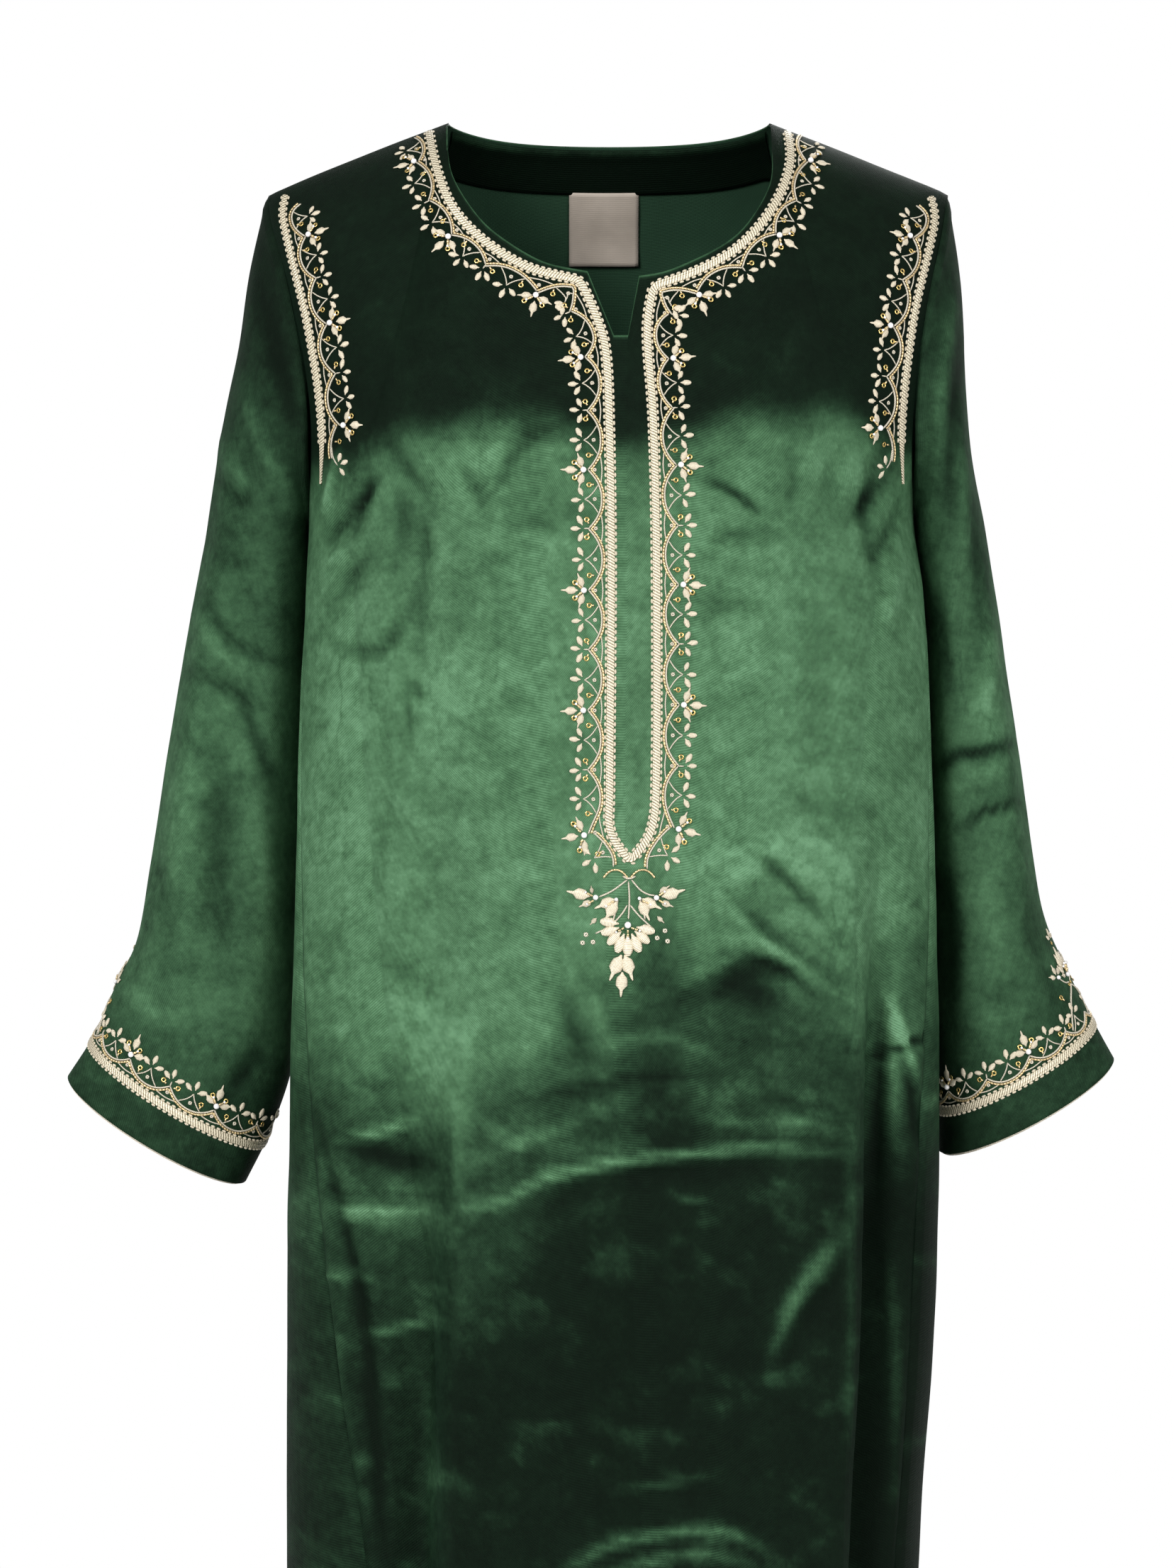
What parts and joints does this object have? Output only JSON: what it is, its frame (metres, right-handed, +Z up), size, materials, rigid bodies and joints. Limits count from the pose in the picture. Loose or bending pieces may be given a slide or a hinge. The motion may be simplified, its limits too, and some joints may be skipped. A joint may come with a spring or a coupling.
{
  "type": "kaftan",
  "caption": "Long-sleeved velvet kaftan filled out as if worn, with a round notched neck, couched metal braid and a raised goldwork pendant.",
  "frame": {"origin": "midway between the two high shoulder points, where the neck edge meets the shoulder seams", "axes": "+Z up, -Y towards the garment's front, +X towards the wearer's left side"},
  "size_m": [0.687, 0.3194, 1.4001],
  "materials": {
    "velvet": "silk velvet",
    "braid": "couched metal thread",
    "label": "woven satin",
    "goldwork": "padded metal thread"
  },
  "bodies": {
    "root": {"front": "velvet", "back": "velvet", "sleeve_right": "velvet", "sleeve_left": "velvet", "neck_facing": "velvet", "label": "label", "neck_braid": "braid", "armhole_braid_right": "braid", "armhole_braid_left": "braid", "cuff_braid_right": "braid", "cuff_braid_left": "braid", "pendant_flower": "goldwork", "pendant_leaf_right": "goldwork", "pendant_leaf_left": "goldwork", "pendant_leaf_low_right": "goldwork", "pendant_leaf_low_left": "goldwork", "pendant_drop": "goldwork"}
  },
  "joints": []
}
